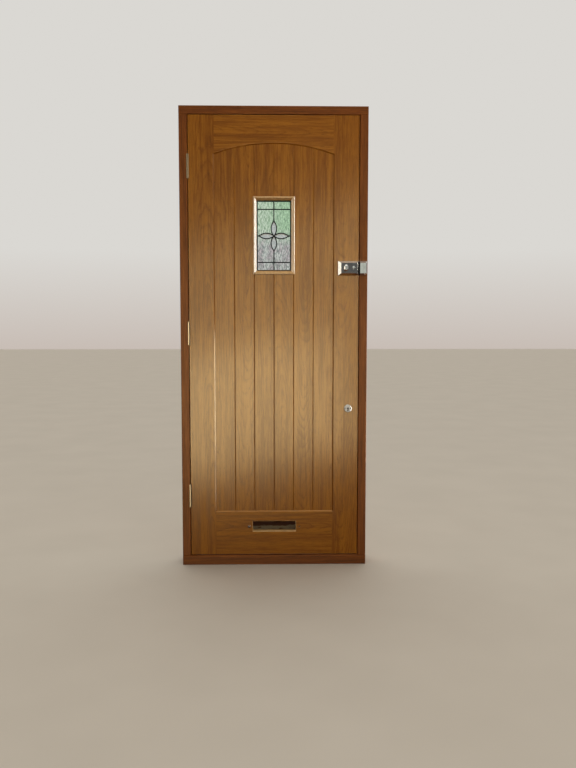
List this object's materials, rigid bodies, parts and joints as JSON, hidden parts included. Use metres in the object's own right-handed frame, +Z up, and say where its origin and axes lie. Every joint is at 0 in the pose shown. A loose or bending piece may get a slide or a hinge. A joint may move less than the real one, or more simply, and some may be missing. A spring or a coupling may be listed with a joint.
{
  "type": "panelled front door",
  "caption": "Framed and boarded front door with an arched top rail, leaded light, rim night latch, deadlock and letter flap, hinged in its rebated frame with a sill.",
  "frame": {"origin": "underside of the sill, halfway across the door and below the middle of the leaf thickness", "axes": "+Z up, +X towards the lock side seen from indoors, +Y outdoors; the leaf opens towards -Y"},
  "size_m": [0.842, 0.1939, 2.07],
  "materials": {
    "leaf_oak": "satin varnished oak",
    "frame_hardwood": "red-brown stain, satin",
    "seal_rubber": "matte",
    "hinge_steel": "satin",
    "screw_steel": "bright",
    "lock_steel": "zinc plated",
    "bolt_steel": "ground",
    "polished_chrome": "polished",
    "plate_chrome": "polished, a little dulled outdoors",
    "flap_metal": "dull cast back",
    "cylinder_brass": "satin",
    "came_lead": "dull",
    "streaky_glass": "streaky textured",
    "bevelled_glass": "bevelled, clear"
  },
  "bodies": {
    "frame": {"sill": "frame_hardwood", "frame_head": "frame_hardwood", "hinge_jamb": "frame_hardwood", "lock_jamb": "frame_hardwood", "frame_stops": "frame_hardwood", "weather_seals": "seal_rubber", "hinge_screws_frame": "screw_steel", "latch_staple": "polished_chrome", "lock_jamb_screws": "screw_steel", "deadlock_keep": "lock_steel", "top_hinge_frame_flap": "hinge_steel", "top_hinge_pin": "hinge_steel", "middle_hinge_frame_flap": "hinge_steel", "middle_hinge_pin": "hinge_steel", "bottom_hinge_frame_flap": "hinge_steel", "bottom_hinge_pin": "hinge_steel"},
    "leaf": {"hinge_screws_door": "screw_steel", "hinge_stile": "leaf_oak", "lock_stile": "leaf_oak", "top_rail": "leaf_oak", "bottom_rail": "leaf_oak", "lead_cames": "came_lead", "glass_quarries": "streaky_glass", "bevel_petals": "bevelled_glass", "latch_backplate": "lock_steel", "latch_housing": "polished_chrome", "latch_screws": "screw_steel", "latch_spring": "lock_steel", "cylinder_ring": "polished_chrome", "cylinder_body": "cylinder_brass", "cylinder_screws": "screw_steel", "deadlock_forend": "lock_steel", "forend_screws": "screw_steel", "inner_escutcheon": "polished_chrome", "outer_escutcheon": "polished_chrome", "escutcheon_screws": "screw_steel", "letter_plate": "plate_chrome", "letter_plate_bolts": "screw_steel", "flap_rod": "lock_steel", "lock_case": "lock_steel", "lock_case_cap": "lock_steel", "inner_glazing_beads": "leaf_oak", "outer_glazing_beads": "leaf_oak", "board_1": "leaf_oak", "board_2": "leaf_oak", "board_3": "leaf_oak", "board_4": "leaf_oak", "board_5": "leaf_oak", "board_6": "leaf_oak", "top_hinge_door_flap": "hinge_steel", "middle_hinge_door_flap": "hinge_steel", "bottom_hinge_door_flap": "hinge_steel"},
    "latch_bolt": {"latch_bolt": "bolt_steel"},
    "latch_knob": {"latch_knob": "polished_chrome", "latch_follower": "lock_steel"},
    "latch_snib": {"latch_snib": "polished_chrome"},
    "cylinder_plug": {"cylinder_plug": "cylinder_brass"},
    "deadbolt": {"deadbolt": "bolt_steel"},
    "letter_flap": {"letter_flap": "flap_metal", "flap_spring": "lock_steel"}
  },
  "joints": [
    {"name": "leaf_swing", "type": "hinge", "parent": "frame", "child": "leaf", "pos_m": [-0.3825, -0.0275, 1], "axis": [0, 0, -1], "range_deg": [0, 110]},
    {"name": "latch_bolt_slide", "type": "slide", "parent": "leaf", "child": "latch_bolt", "axis": [1, 0, 0], "range_m": [0, 0.015]},
    {"name": "latch_knob_turn", "type": "hinge", "parent": "leaf", "child": "latch_knob", "pos_m": [0.321, -0.06, 1.357], "axis": [0, -1, 0], "range_deg": [0, 44.1]},
    {"name": "snib_slide", "type": "slide", "parent": "leaf", "child": "latch_snib", "axis": [0, 0, -1], "range_m": [0, 0.006]},
    {"name": "cylinder_plug_turn", "type": "hinge", "parent": "leaf", "child": "cylinder_plug", "pos_m": [0.321, 0, 1.357], "axis": [0, 1, 0], "range_deg": [-35, 35]},
    {"name": "deadbolt_slide", "type": "slide", "parent": "leaf", "child": "deadbolt", "axis": [1, 0, 0], "range_m": [0, 0.014]},
    {"name": "letter_flap_swing", "type": "hinge", "parent": "leaf", "child": "letter_flap", "pos_m": [0, 0.018, 0.1995], "axis": [-1, 0, 0], "range_deg": [0, 80], "stiffness_Nm_per_rad": 0.05, "springref_deg": -22.92}
  ],
  "couplings": [
    {"joint": "latch_knob_turn", "follows": "latch_bolt_slide", "rad_per_m": 51.253}
  ]
}
